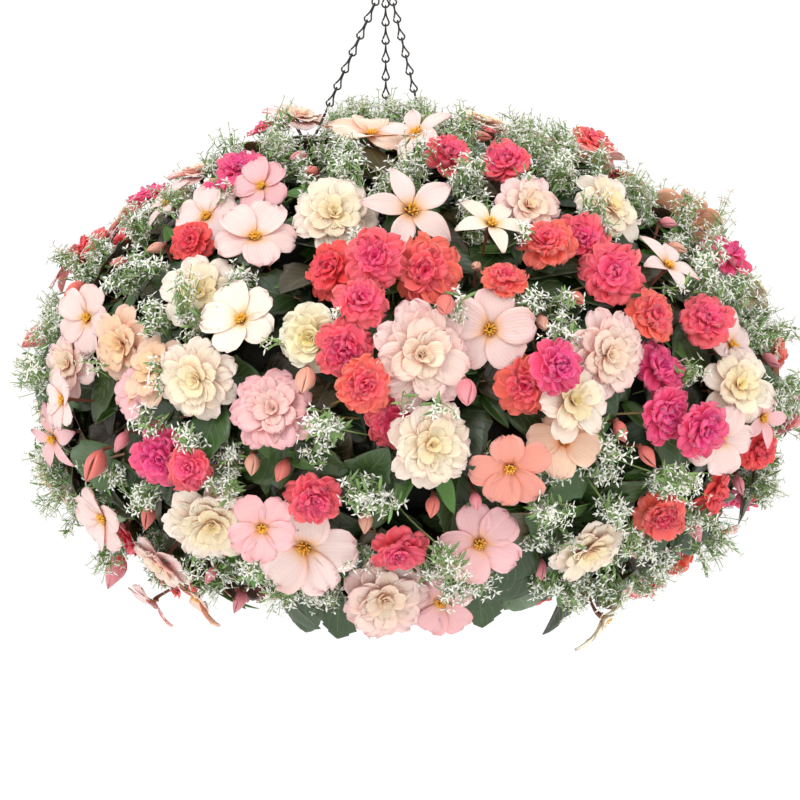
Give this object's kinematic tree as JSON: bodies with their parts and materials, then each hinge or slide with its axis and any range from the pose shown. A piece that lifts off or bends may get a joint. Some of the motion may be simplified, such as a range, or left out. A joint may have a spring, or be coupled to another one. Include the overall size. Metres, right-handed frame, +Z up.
{
  "type": "planted hanging basket of begonias, double impatiens and euphorbia",
  "caption": "Hanging basket of trailing begonias, double impatiens and white euphorbia, with a pot of compost, three twisted chains with stiff wire legs, and an S-hook.",
  "frame": {"origin": "the inner crown of the S-hook's upper bend, where the hook bears on its bracket", "axes": "+Z up, +X to the right and +Y away from a viewer in front, with the hook's bends in the XZ plane"},
  "size_m": [0.7426, 0.7593, 0.6862],
  "materials": {
    "hanger_wire": "dark bronze, satin",
    "pot_plastic": "matte dark green",
    "compost": "rough, dark brown",
    "begonia_growth": "satin dark green leaves with pale pink and cream petals",
    "impatiens_growth": "coral red petals with mid-green leaves",
    "euphorbia_growth": "white bracts on pale green stems"
  },
  "bodies": {
    "root": {"hanger_hook": "hanger_wire", "chain_left": "hanger_wire", "wire_leg_left": "hanger_wire", "chain_back": "hanger_wire", "wire_leg_back": "hanger_wire", "chain_right": "hanger_wire", "wire_leg_right": "hanger_wire", "pot": "pot_plastic", "soil": "compost", "begonia_shoot_01": "begonia_growth", "begonia_shoot_02": "begonia_growth", "begonia_shoot_03": "begonia_growth", "begonia_shoot_04": "begonia_growth", "begonia_shoot_05": "begonia_growth", "begonia_shoot_06": "begonia_growth", "begonia_shoot_07": "begonia_growth", "begonia_shoot_08": "begonia_growth", "begonia_shoot_09": "begonia_growth", "begonia_shoot_10": "begonia_growth", "impatiens_shoot_01": "impatiens_growth", "impatiens_shoot_02": "impatiens_growth", "impatiens_shoot_03": "impatiens_growth", "impatiens_shoot_04": "impatiens_growth", "impatiens_shoot_05": "impatiens_growth", "impatiens_shoot_06": "impatiens_growth", "impatiens_shoot_07": "impatiens_growth", "impatiens_shoot_08": "impatiens_growth", "impatiens_shoot_09": "impatiens_growth", "impatiens_shoot_10": "impatiens_growth", "euphorbia_shoot_01": "euphorbia_growth", "euphorbia_shoot_02": "euphorbia_growth", "euphorbia_shoot_03": "euphorbia_growth", "euphorbia_shoot_04": "euphorbia_growth", "euphorbia_shoot_05": "euphorbia_growth", "euphorbia_shoot_06": "euphorbia_growth", "euphorbia_shoot_07": "euphorbia_growth", "euphorbia_shoot_08": "euphorbia_growth", "euphorbia_shoot_09": "euphorbia_growth", "euphorbia_shoot_10": "euphorbia_growth"}
  },
  "joints": []
}
